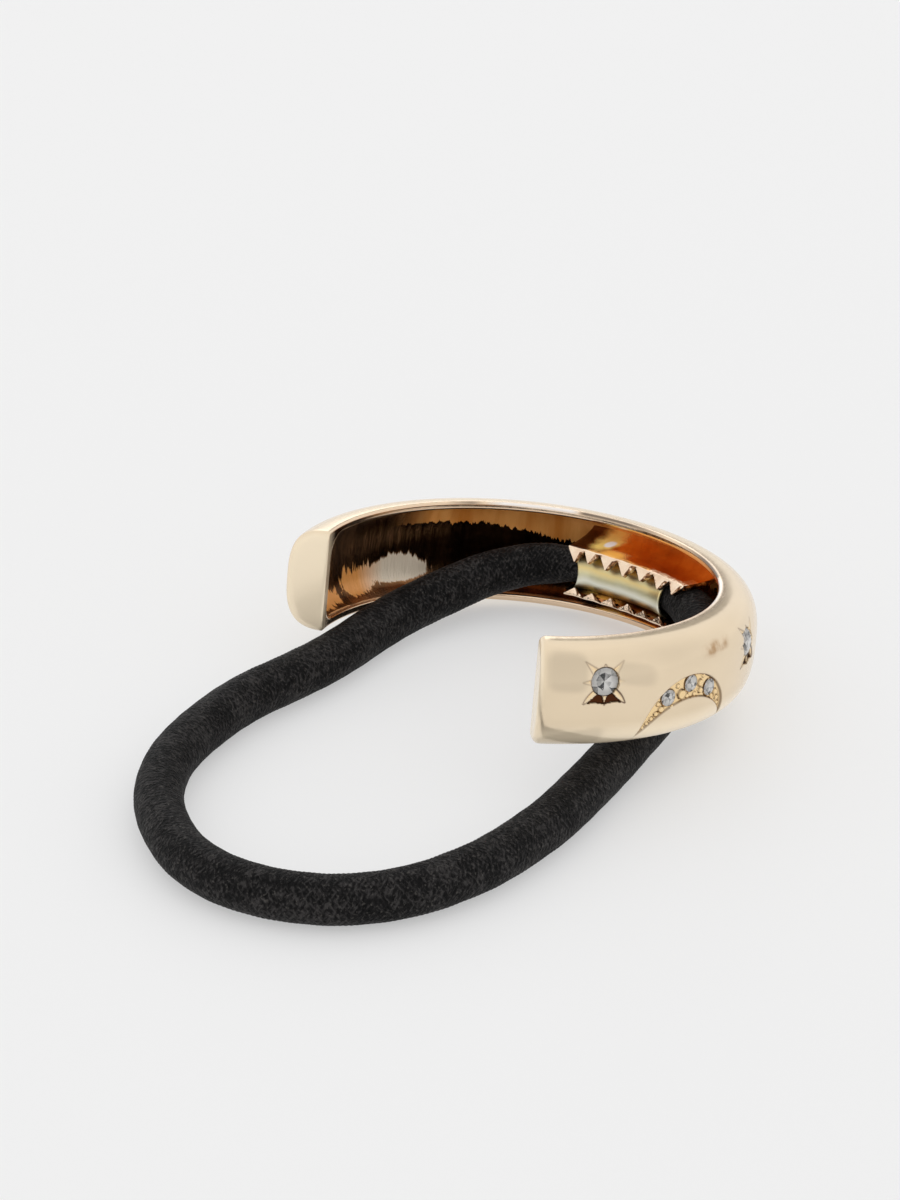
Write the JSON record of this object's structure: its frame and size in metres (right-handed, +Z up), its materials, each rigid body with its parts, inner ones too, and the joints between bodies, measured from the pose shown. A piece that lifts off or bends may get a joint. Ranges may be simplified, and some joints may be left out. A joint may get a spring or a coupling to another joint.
{
  "type": "hair tie",
  "caption": "C-shaped plated metal ponytail cuff with a toothed clamp and ferrule that hold a loop of round elastic; engraved stars and crescents with set stones.",
  "frame": {"origin": "on the surface it lies on, under the middle of the metal cuff's footprint", "axes": "+Z up, +Y towards the cuff's closed end, +X towards the arm whose outer face shows in the picture"},
  "size_m": [0.0436, 0.0584, 0.0137],
  "materials": {
    "plated_metal": "polished pale gold plating",
    "ferrule_brass": "bright pale brass",
    "black_elastic": "black braided round elastic",
    "clear_stone": "clear faceted stone"
  },
  "bodies": {
    "root": {"cuff": "plated_metal", "ferrule": "ferrule_brass", "elastic_loop": "black_elastic", "star_stone_1": "clear_stone", "star_stone_2": "clear_stone", "star_stone_3": "clear_stone", "star_stone_4": "clear_stone", "star_stone_5": "clear_stone", "moon_stone_1_1": "clear_stone", "moon_stone_1_2": "clear_stone", "moon_stone_1_3": "clear_stone", "moon_stone_2_1": "clear_stone", "moon_stone_2_2": "clear_stone", "moon_stone_2_3": "clear_stone", "moon_stone_3_1": "clear_stone", "moon_stone_3_2": "clear_stone", "moon_stone_3_3": "clear_stone", "moon_stone_4_1": "clear_stone", "moon_stone_4_2": "clear_stone", "moon_stone_4_3": "clear_stone"}
  },
  "joints": []
}
